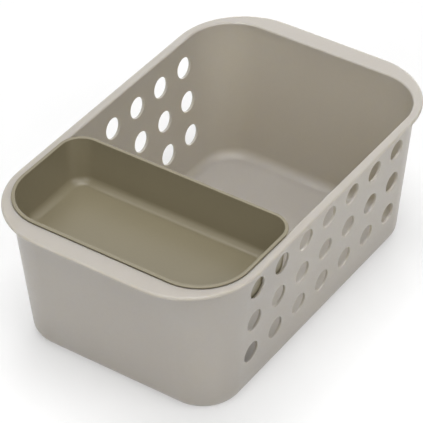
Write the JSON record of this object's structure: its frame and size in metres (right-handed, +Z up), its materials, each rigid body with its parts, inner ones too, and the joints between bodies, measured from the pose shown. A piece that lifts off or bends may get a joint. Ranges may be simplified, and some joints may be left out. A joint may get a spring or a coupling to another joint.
{
  "type": "bathroom storage basket",
  "caption": "Open rectangular storage basket with a flat rim, rounded corners and round holes along both long walls, with a shallow lift-out tray hanging across one end.",
  "frame": {"origin": "centre of the basket's flat underside", "axes": "+Z up, +Y along the basket away from the tray's end, +X across the basket"},
  "size_m": [0.2, 0.3096, 0.1199],
  "materials": {
    "basket": "fine satin, warm light grey",
    "tray": "fine satin, olive taupe"
  },
  "bodies": {
    "basket": {"basket": "basket"},
    "tray": {"tray": "tray"}
  },
  "joints": [
    {"name": "tray_lift", "type": "slide", "parent": "basket", "child": "tray", "axis": [0, 0, 1], "range_m": [0, 0.05]}
  ]
}
